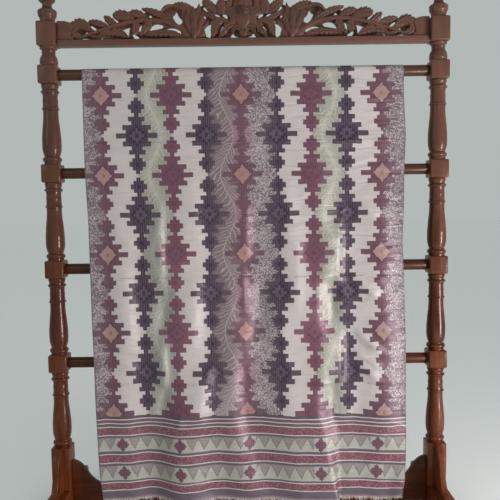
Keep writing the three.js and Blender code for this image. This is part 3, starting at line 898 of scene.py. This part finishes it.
across = np.linspace(0, cloth_width, cloth_columns + 1)
cloth_points = []
cloth_lengths = []
for drop in np.linspace(front_drop, 0, front_rows + 1):
    folds = folds_out(across, drop)
    out = folds + min(drop / creases_formed, 1) * creases_out(across, drop)
    out += lean_out * rounded((drop - lean_from) / (lean_to - lean_from))
    x = hung_row(folds, left_edge + hang_at(hang_edge_in, drop))
    edge_out = np.interp(drop, edge_drops, edge_outs)
    x = x + edge_out * rounded((across - cloth_width + edge_reach) / edge_reach)
    lift = rounded((across - corner_across) / (cloth_width - corner_across))
    lift = lift * rounded((drop - corner_drop) / (front_drop - corner_drop))
    z = top_rod - drop + corner_rise * lift
    cloth_points.append(np.stack([x, -cloth_middle_radius - out, z], axis=1))
    cloth_lengths.append(front_drop - drop)
for angle in np.linspace(0, math.pi, arch_rows + 1)[1:]:
    row = np.empty((cloth_columns + 1, 3))
    row[:, 0] = left_edge + across
    row[:, 1] = -cloth_middle_radius * math.cos(angle)
    row[:, 2] = top_rod + cloth_middle_radius * math.sin(angle)
    cloth_points.append(row)
    cloth_lengths.append(front_drop + arch_length * angle / math.pi)
for drop in np.linspace(0, back_drop, back_rows + 1)[1:]:
    formed = drop / back_drop
    waves = (2 * back_waves * across / cloth_width) * np.pi
    out = formed * back_wave_out * (1 - np.cos(waves)) / 2
    x = hung_row(out, left_edge + formed * back_edge_in)
    cloth_points.append(np.stack([x, cloth_middle_radius + out, np.full_like(x, top_rod - drop)], axis=1))
    cloth_lengths.append(front_drop + arch_length + drop)
cloth_points = np.concatenate(cloth_points)
cloth_rows = front_rows + arch_rows + back_rows
grid = bpy.ops.mesh.primitive_grid_add
cloth = added(grid, x_subdivisions=cloth_columns, y_subdivisions=cloth_rows, size=2)
named(cloth, "batik_long_cloth")
cloth.data.vertices.foreach_set("co", cloth_points.astype(np.float32).ravel())
weave_map = cloth.data.uv_layers.active or cloth.data.uv_layers.new()
weave_map.name = "weave_map"
corner_points = np.empty(len(cloth.data.loops), np.int32)
cloth.data.loops.foreach_get("vertex_index", corner_points)
corner_rows, corner_columns = np.divmod(corner_points, cloth_columns + 1)
map_places = np.stack([across[corner_columns], np.take(cloth_lengths, corner_rows)], axis=1)
weave_map.data.foreach_set("uv", map_places.astype(np.float32).ravel())
cloth.data.update()
face_outwards(cloth)
thick = cloth.modifiers.new("thick", "SOLIDIFY")
thick.thickness = cloth_thickness
thick.offset = 0
bpy.ops.object.modifier_apply(modifier=thick.name)
bpy.ops.object.shade_smooth_by_angle(angle=math.radians(cloth_smooth))

# The dyes are drawn by steps of arithmetic on the place in the weave, in millimetres on the cloth.
batik, cloth_shader = start_finish("batik_cloth")
on_weave = partial(add_node, cloth_shader)
dye_strength = 0.755
palest = 0.92


def dye(red, green, blue):
    """A dye as it looks in soft daylight, 0 to 255, in the strength that the cloth itself has."""
    tones = []
    for tone in (red, green, blue):
        share = tone / 255
        linear = share / 12.92 if share <= 0.04045 else ((share + 0.055) / 1.055) ** 2.4
        tones.append(min(linear * dye_strength, palest))
    return (*tones, 1.0)


def reckon(operation, *values):
    """One step of arithmetic on the cloth's pattern."""
    return on_weave("Math", "Value", dict(enumerate(values)), operation=operation)


plus = partial(reckon, "ADD")
minus = partial(reckon, "SUBTRACT")
divided = partial(reckon, "DIVIDE")
scaled = partial(reckon, "MULTIPLY_ADD")
larger = partial(reckon, "MAXIMUM")
smaller = partial(reckon, "MINIMUM")
below = partial(reckon, "LESS_THAN")
above = partial(reckon, "GREATER_THAN")
fraction = partial(reckon, "FRACT")
remainder = partial(reckon, "FLOORED_MODULO")


def times(first, *others):
    """Several values multiplied together."""
    whole = first
    for value in others:
        whole = reckon("MULTIPLY", whole, value)
    return whole


def apart(value, *places):
    """How far a value is from the nearest of some places."""
    nearest = reckon("ABSOLUTE", minus(value, places[0]))
    for place in places[1:]:
        nearest = smaller(nearest, reckon("ABSOLUTE", minus(value, place)))
    return nearest


def fade(value, full, none):
    """1 where a value has reached full, 0 where it has reached none, and soft between."""
    ends = {"Value": value, "From Min": none, "From Max": full}
    return on_weave("MapRange", "Result", ends, interpolation_type="SMOOTHSTEP")


def laid_over(factor, under, over, blend="MIX"):
    """One dye laid over another where the factor is 1."""
    dyes = {"Factor": factor, "A": under, "B": over}
    return on_weave("Mix", "Result", dyes, data_type="RGBA", blend_type=blend)


def dyed(patches, darker, lighter, *layers):
    """An uneven dye with others over it in turn; a layer is where it lies, its strength and its dye."""
    colour = laid_over(patches, dye(*darker), dye(*lighter))
    for cover, strength, tone in layers:
        colour = laid_over(times(cover, strength), colour, dye(*tone))
    return colour


def stepped(value, rows, tall):
    """A width that changes in steps over a height; a row is a start and a width."""
    shares = [(start / tall, width / 100) for start, width in rows]
    return times(in_steps(cloth_shader, divided(value, tall), shares), 100)


def kinds(value, rows):
    """Three values, 0 or 1, that tell the kind at a place; a row is a start and a kind."""
    codes = in_steps(cloth_shader, value, rows)
    return on_weave("SeparateColor", "Red", {"Color": codes}).node.outputs.values()


def mottle(scale, detail=2.0, shift=0.0):
    """Soft unevenness over the cloth, about 0.5, at so many spots a metre."""
    place = on_weave("Mapping", "Vector", {"Vector": weave_place, "Location": (shift, shift, 0)})
    spots = {"Vector": place, "Scale": scale, "Detail": detail}
    return on_weave("TexNoise", "Fac", spots, noise_dimensions="2D")


hand_wobble = 3.4
wobbles_a_metre = 26
grain_size = 2.9
weave_place = on_weave("UVMap", "UV", {}, uv_map="weave_map")
weave_across = on_weave("SeparateXYZ", "X", {"Vector": weave_place})
weave_up = weave_across.node.outputs["Y"]
wander_across = times(minus(mottle(wobbles_a_metre), 0.5), hand_wobble)
wander_up = times(minus(mottle(wobbles_a_metre, shift=7.3), 0.5), hand_wobble)
mm_across = scaled(weave_across, 1000, wander_across)
mm_up = scaled(weave_up, 1000, wander_up)
grain_spots = {"Vector": weave_place, "Scale": 1000 / grain_size}
grain = on_weave("TexVoronoi", "Color", grain_spots, voronoi_dimensions="2D")
grain_tone = on_weave("SeparateColor", "Red", {"Color": grain})
speck_tone = grain_tone.node.outputs["Green"]
dye_patches = mottle(60, detail=3)
wide_patches = mottle(17, detail=3, shift=3.1)

# The field is nine columns of stepped diamonds, large and small, with every other column half a
# repeat lower, and the ground changes at each column. The lowest repeat is drawn a little longer.
first_column = 60.0
column_pitch = 114.5
first_row = 305.0
row_repeat = 260.0
longer_below = 565.0
longer_share = 0.044
border_top = 284.0
long_bar = 68.0
bar_height = 8.5
half_pitch = column_pitch / 2
half_repeat = row_repeat / 2
# Each row is a height from a diamond's heart and half the width from there on.
diamond_steps = [
    (0.0, 68.0), (8.5, 37.0), (18.5, 47.0), (34.6, 18.0), (46.3, 27.2), (61.0, 7.6),
    (73.0, 17.0), (84.5, 27.2), (101.5, 17.0), (113.0, 6.8), (124.0, 0.0),
]
heart_steps = [
    (0.0, 37.0), (18.5, 30.0), (34.6, 18.0), (46.3, 17.0), (61.0, 7.6),
    (73.0, 17.0), (84.5, 17.5), (101.5, 17.0), (113.0, 6.8),
]
longer = larger(minus(longer_below, mm_up), 0)
row_up = scaled(longer, longer_share, mm_up)
column_place = divided(minus(mm_across, first_column), column_pitch)
ground_number = reckon("FLOOR", column_place)
past_column = times(minus(column_place, ground_number), column_pitch)
half_drop = times(remainder(ground_number, 2), half_repeat)
row_place = minus(minus(row_up, first_row), half_drop)
row_share = fraction(scaled(row_place, 1 / row_repeat, 0.5))
from_left_heart = times(apart(row_share, 0.5), row_repeat)
left_bar = below(from_left_heart, bar_height)
right_bar = above(from_left_heart, half_repeat - bar_height)
parting = scaled(minus(left_bar, right_bar), long_bar - half_pitch, half_pitch)
to_right = above(past_column, parting)
column_number = plus(ground_number, to_right)
beside = minus(column_pitch, times(past_column, 2))
from_column = scaled(to_right, beside, past_column)
beyond = minus(half_repeat, times(from_left_heart, 2))
from_heart = scaled(to_right, beyond, from_left_heart)
half_width = stepped(from_heart, diamond_steps, half_repeat)
heart_width = stepped(from_heart, heart_steps, half_repeat)
in_field = above(mm_up, border_top)

# Grounds: cream, sage with a pale feather, brown with a fine fern, and fine speckles
speckle_kind = (1, 0, 0, 1)
sage_kind = (0, 1, 0, 1)
brown_kind = (0, 0, 1, 1)
cream_kind = (0, 0, 0, 1)
ground_order = [
    speckle_kind, cream_kind, sage_kind, cream_kind, brown_kind,
    speckle_kind, cream_kind, sage_kind, cream_kind, speckle_kind,
]
middle_number = 4
stem_swing = -22.0
fern_shift = 8.0
ground_steps = [(number / 10, kind) for number, kind in enumerate(ground_order)]
on_speckle, on_sage, on_brown = kinds(scaled(ground_number, 0.1, 0.15), ground_steps)
soft_ground = plus(on_speckle, on_brown)
stem_place = times(reckon("COSINE", times(row_share, math.tau)), stem_swing)
stem_place = scaled(on_brown, fern_shift, stem_place)
from_stem = minus(minus(past_column, half_pitch), stem_place)
off_stem = reckon("ABSOLUTE", from_stem)
right_of_stem = above(from_stem, 0)


def fronds(spacing, width, reach):
    """Bent strokes that droop on both sides of a wavy stem, soft at their edges and tips."""
    droop = scaled(right_of_stem, 1.25, 1.75)
    uneven_fall = scaled(wide_patches, spacing * 3.2, row_up)
    uneven_fall = scaled(right_of_stem, spacing * 0.4, uneven_fall)
    fall = scaled(reckon("POWER", off_stem, 0.75), droop, uneven_fall)
    stroke = apart(fraction(divided(fall, spacing)), 0.5)
    drawn = fade(stroke, 0.0, width / spacing)
    ragged_reach = times(off_stem, scaled(wide_patches, 1.2, 0.4))
    return times(drawn, fade(ragged_reach, reach * 0.5, reach))


cream = dyed(wide_patches, (203, 192, 190), (213, 202, 200))
sage = dyed(
    wide_patches, (150, 147, 132), (170, 166, 153),
    (times(fade(off_stem, 4.0, 30.0), dye_patches), 0.85, (204, 202, 193)),
    (fronds(13.0, 5.4, 52.0), 0.46, (208, 205, 196)),
    (fade(off_stem, 1.5, 7.0), 0.45, (208, 205, 196)),
    (fronds(17.0, 5.5, 46.0), 0.22, (132, 130, 116)),
)
brown = dyed(
    dye_patches, (106, 88, 94), (128, 107, 112),
    (grain_tone, 0.20, (160, 144, 147)),
    (fade(mm_up, 290.0, 520.0), 0.45, (186, 168, 174)),
    (fronds(7.2, 2.4, 44.0), 0.24, (180, 164, 165)),
    (fronds(14.4, 2.8, 50.0), 0.78, (194, 178, 179)),
    (fade(off_stem, 0.6, 2.6), 0.60, (194, 178, 179)),
)
speckle_steps = [
    (0.00, dye(100, 84, 90)), (0.20, dye(121, 105, 110)), (0.42, dye(145, 130, 134)),
    (0.64, dye(170, 156, 159)), (0.86, dye(194, 181, 184)),
]
speckle_tone = scaled(minus(wide_patches, 0.44), 0.85, grain_tone)
in_middle = reckon("COMPARE", ground_number, middle_number, 0.5)
paler = scaled(fade(mm_up, 300.0, 1000.0), 0.10, 0.06)
speckle_tone = scaled(in_middle, paler, speckle_tone)
# Painted shade: towards the right-hand edge, low on the cloth, more of the specks are dark.
painted_edge_shade = times(fade(mm_across, 1035.0, 985.0), fade(mm_up, 850.0, 1250.0))
dark_speck_and_edge_shade = below(speck_tone, scaled(painted_edge_shade, 0.30, 0.10))
speckle = in_steps(cloth_shader, speckle_tone, speckle_steps)
speckle = laid_over(times(dark_speck_and_edge_shade, 0.8), speckle, dye(84, 66, 76))
ground = laid_over(on_speckle, cream, speckle)
ground = laid_over(on_sage, ground, sage)
ground = laid_over(on_brown, ground, brown)

# Diamonds: plum ones, mauve ones round a peach star, and striped dark ones, the plum and the dark
# with a ring of small dark squares; on the speckled and the brown ground their edges run out softly
ragged_depth = 11.0
middle_band = 11.5
last_column = 4.5
halo_depth = 4.5
square_side = 9.6
ring_squares = 3
eye_half = 5.2
eye_tall = eye_half * 1.3
small_heart = 93.0
stripe_pitch = 7.0
stripe_share = 0.42
star_tall = 34.0
star_room = 37.0
star_rim = 6.0
sheen_band_height = 660.0
# Each row is a height from the star's heart and half its width from there on.
star_steps = [
    (0.0, 28.0), (2.4, 24.0), (6.0, 20.5), (11.0, 17.6), (15.5, 13.0), (18.8, 8.4), (22.8, 5.2),
    (26.8, 2.8), (31.5, 0.0),
]
middle_column = reckon("COMPARE", column_number, middle_number, 0.5)
ragged_column = plus(from_column, times(minus(grain_tone, 0.5), soft_ground, ragged_depth))
cover_width = larger(half_width, times(middle_column, middle_band))
on_cloth = below(apart(column_number, middle_number), last_column)
motif = times(below(ragged_column, cover_width), in_field, on_cloth)
motif_cover = times(motif, scaled(soft_ground, -0.08, 1))
halo = below(minus(from_column, half_width), halo_depth)
ground = laid_over(times(halo, minus(1, soft_ground), 0.35), ground, dye(206, 192, 196))
arm = above(from_column, heart_width)
squares_across = reckon("ROUND", divided(from_column, square_side))
squares_up = reckon("ROUND", divided(from_heart, square_side))
squares_out = plus(squares_across, squares_up)
ring = reckon("COMPARE", squares_out, ring_squares, 0.1)
inside_ring = below(squares_out, ring_squares - 0.5)
near_heart = below(smaller(from_heart, apart(from_heart, small_heart)), eye_tall)
eye = times(near_heart, below(from_column, eye_half))
spots = larger(ring, eye)
stripe = below(fraction(scaled(from_column, 1 / stripe_pitch, 0.15)), stripe_share)
stripe = times(stripe, minus(1, arm))
# Painted sheen: the plum is painted pinker in a band part way up the cloth.
painted_sheen_band = fade(apart(mm_up, sheen_band_height), 60.0, 280.0)
plum = dyed(
    dye_patches, (90, 50, 66), (116, 68, 86),
    (stripe, 0.24, (162, 104, 128)),
    (arm, 0.8, (108, 75, 82)),
    (painted_sheen_band, 0.22, (172, 112, 134)),
    (spots, 0.42, (70, 34, 50)),
)
past_star = minus(from_column, stepped(from_heart, star_steps, star_tall))
by_star = times(below(from_heart, star_room), below(past_star, star_rim))
mauve = dyed(
    dye_patches, (88, 48, 63), (113, 69, 84),
    (stripe, 0.20, (146, 104, 124)),
    (arm, 0.7, (100, 76, 85)),
    (by_star, 0.8, (84, 42, 58)),
)
star_heart = larger(from_column, times(from_heart, 0.8))
peach = dyed(
    dye_patches, (160, 124, 116), (180, 147, 139),
    (middle_column, 0.45, (168, 108, 103)),
    (fade(star_heart, 2.0, 7.0), 0.7, (146, 88, 78)),
)
mauve = laid_over(below(past_star, 0), mauve, peach)
dark = dyed(
    dye_patches, (37, 22, 40), (54, 35, 57),
    (inside_ring, 0.46, (106, 86, 112)),
    (stripe, 0.41, (124, 102, 130)),
    (arm, 0.75, (87, 72, 78)),
    (spots, 0.90, (24, 12, 28)),
)
dark_column = remainder(column_number, 2)
plum_column = above(remainder(column_number, 4), 1.5)
diamond = laid_over(plum_column, mauve, plum)
diamond = laid_over(dark_column, diamond, dark)
glow = times(middle_column, fade(from_column, 12.0, 46.0), fade(from_heart, 110.0, 45.0), in_field)
ground = laid_over(times(glow, wide_patches, 1.3), ground, dye(172, 118, 144))
field = laid_over(motif_cover, ground, diamond)

# Border: three red bands and two rows of small triangles between white lines, and a plain hem
white_line = dye(208, 194, 200)
grey_line = dye(98, 86, 90)
mauve_line = dye(112, 82, 92)
dark_line = dye(88, 74, 80)
line_half = 1.75
white_lines = (32.5, 58.5, 125.0, 154.5, 219.0, 247.0, 259.5, 273.0)
triangle_pitch = 41.0
triangle_rows = ((66.0, 115.5), (165.0, 210.5))
triangle_slope = -1.66
hatch_pitch = 5.4
small_diamonds = (83.0, 287.0, 523.0, 763.0, 957.0)
small_tall = 24.0
# Each row is a height from a small diamond's middle and half its width from there on.
small_steps = [(0.0, 21.0), (3.2, 17.0), (9.0, 14.5), (11.5, 7.8), (17.0, 6.2), (20.0, 3.0), (23.2, 0.0)]
hem_kind = (0, 0, 0, 1)
red_kind = (1, 0, 0, 1)
tooth_kind = (0, 1, 0, 1)
top_kind = (0, 0, 1, 1)
band_order = (hem_kind, red_kind, tooth_kind, red_kind, tooth_kind, red_kind, top_kind)
band_starts = (0.0, *white_lines[:6])
band_steps = [(start / border_top, kind) for start, kind in zip(band_starts, band_order)]
border_share = divided(mm_up, border_top)
on_red, on_teeth, on_top = kinds(border_share, band_steps)
red_ground = dyed(wide_patches, (104, 58, 66), (120, 71, 79))
red_band = laid_over(above(grain_tone, 0.62), red_ground, dye(150, 100, 109))
frayed = times(fade(mm_up, 2.0, 11.0), scaled(grain_tone, 0.5, 0.4))
hem_band = dyed(dye_patches, (94, 80, 91), (110, 95, 106))
hem_band = laid_over(frayed, hem_band, dye(172, 156, 159))
tooth = apart(fraction(divided(mm_across, triangle_pitch)), 0.5)
light_tooth = dyed(wide_patches, (170, 169, 157), (186, 185, 175))
hatch = below(fraction(divided(plus(mm_across, mm_up), hatch_pitch)), 0.45)
hatched = dyed(hatch, (156, 147, 143), (128, 116, 115), (grain_tone, 0.30, (176, 168, 164)))
from_small = apart(mm_across, *small_diamonds)
slope = scaled(tooth, triangle_slope, 1.0)
toothed = grey_line
for low, high in triangle_rows:
    rise = divided(minus(mm_up, low), high - low)
    past_slope = minus(rise, slope)
    row = laid_over(above(past_slope, 0), light_tooth, hatched)
    on_slope = fade(reckon("ABSOLUTE", past_slope), 0.0, 0.15)
    row = laid_over(times(on_slope, scaled(grain_tone, 0.7, 0.3)), row, dye(108, 95, 97))
    small_width = stepped(apart(mm_up, (low + high) / 2), small_steps, small_tall)
    row = laid_over(fade(from_small, 19.0, 25.0), row, light_tooth)
    row = laid_over(below(from_small, small_width), row, plum)
    toothed = laid_over(below(apart(rise, 0.5), 0.5), toothed, row)
top_tones = zip((0.0, *white_lines[6:]), (grey_line, mauve_line, dark_line))
top_steps = [(start / border_top, tone) for start, tone in top_tones]
border = laid_over(on_red, hem_band, red_band)
border = laid_over(on_teeth, border, toothed)
border = laid_over(on_top, border, in_steps(cloth_shader, border_share, top_steps))
border = laid_over(below(apart(mm_up, *white_lines), line_half), border, white_line)
pattern = laid_over(in_field, border, field)

# Selvedges, uneven dye and the weave itself
selvedge_depth = 4.0
thread_pitch = 1.1
threads = math.tau * 1000 / thread_pitch
pressed_lines = (392.0, 744.0, 1190.0)
pressed_half = 5.0
selvedge = above(apart(mm_across, 500 * cloth_width), 500 * cloth_width - selvedge_depth)
pattern = laid_over(times(selvedge, 0.55), pattern, dye(98, 86, 90))
pattern = laid_over(1, pattern, scaled(mottle(420, detail=1), 0.24, 0.88), "MULTIPLY")
weave = times(reckon("SINE", times(weave_across, threads)), reckon("SINE", times(weave_up, threads)))
pressed = times(fade(apart(mm_up, *pressed_lines), 0.0, pressed_half), fade(wide_patches, 0.56, 0.44))
wrinkle_place = on_weave("Mapping", "Vector", {"Vector": weave_place, "Scale": (9, 34, 1)})
wrinkle_look = {"Vector": wrinkle_place, "Scale": 1, "Detail": 2, "Distortion": 0.6}
wrinkles = on_weave("TexNoise", "Fac", wrinkle_look, noise_dimensions="2D")
crumple_look = {"Height": scaled(pressed, 0.45, wrinkles), "Strength": 0.85, "Distance": 0.0062}
crumple = on_weave("Bump", "Normal", crumple_look)
weave_look = {"Height": weave, "Strength": 0.3, "Distance": 0.0002, "Normal": crumple}
cloth_relief = on_weave("Bump", "Normal", weave_look)
feed(cloth_shader, {"Base Color": pattern, "Normal": cloth_relief, "Roughness": 0.36})
feed(cloth_shader, {"Specular IOR Level": 0.75, "Specular Tint": (1.0, 0.84, 0.92, 1)})
feed(cloth_shader, {"Sheen Weight": 0.04, "Sheen Roughness": 0.5})
fit(cloth, "cloth", batik)


# Fringe
# The warp ends are left uncut below the front hem, a few hundred loose off-white threads that hang
# in uneven tufts.
fringe_threads = 640
thread_radius = 0.00060
thread_length = 0.0115
thread_sides = 3
thread_joints = 4
thread_start = 0.0025
thread_taper = 0.45
thread_bend = 1.4
thread_jitter = 0.4
shortest = 0.55
longest = 1.25
tuft_mean = 0.75
tuft_swing = 0.45
lean_spread = 0.28
draw = np.random.default_rng(11)
hem_row = cloth_points[: cloth_columns + 1]
thread_points = []
thread_faces = []
for number in range(fringe_threads):
    place = (number + 0.5 + draw.uniform(-thread_jitter, thread_jitter)) / fringe_threads * cloth_columns
    column = min(int(place), cloth_columns - 1)
    root = hem_row[column] * (1 - (place - column)) + hem_row[column + 1] * (place - column)
    tuft = tuft_mean + tuft_swing * math.sin(number * 0.31) * math.sin(number * 0.093 + 1.2)
    length = thread_length * tuft * draw.uniform(shortest, longest)
    lean = draw.normal(0, lean_spread, 2)
    first = len(thread_points)
    for joint in range(thread_joints):
        share = joint / (thread_joints - 1)
        radius = thread_radius * (1 - thread_taper * share)
        centre = root + np.array([*(lean * length * share**thread_bend), 0])
        centre[2] += thread_start - (length + thread_start) * share
        for corner in range(thread_sides):
            turn = math.tau * corner / thread_sides
            thread_points.append(centre + radius * np.array([math.cos(turn), math.sin(turn), 0]))
    for joint in range(thread_joints - 1):
        for corner in range(thread_sides):
            here = first + joint * thread_sides + corner
            there = first + joint * thread_sides + (corner + 1) % thread_sides
            thread_faces.append((here, here + thread_sides, there + thread_sides, there))
    last = first + (thread_joints - 1) * thread_sides
    thread_faces.append(tuple(first + corner for corner in range(thread_sides)))
    thread_faces.append(tuple(last + corner for corner in reversed(range(thread_sides))))
fringe_mesh = bpy.data.meshes.new("hem_fringe")
fringe_mesh.from_pydata([tuple(point) for point in thread_points], [], thread_faces)
fringe = bpy.data.objects.new("hem_fringe", fringe_mesh)
bpy.context.scene.collection.objects.link(fringe)
face_outwards(fringe)
thread_finish, thread_shader = start_finish("fringe_thread")
thread_place = add_node(thread_shader, "TexCoord", "Object", {})
thread_tone = add_node(thread_shader, "TexNoise", "Fac", {"Vector": thread_place, "Scale": 90})
thread_tones = [(0.35, (0.50, 0.42, 0.42, 1)), (0.60, (0.86, 0.80, 0.76, 1))]
thread_colour = in_steps(thread_shader, thread_tone, thread_tones, "LINEAR")
feed(thread_shader, {"Base Color": thread_colour, "Roughness": 0.85})
fit(fringe, "fringe_front", thread_finish)


# Size of the dressed stand
low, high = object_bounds()
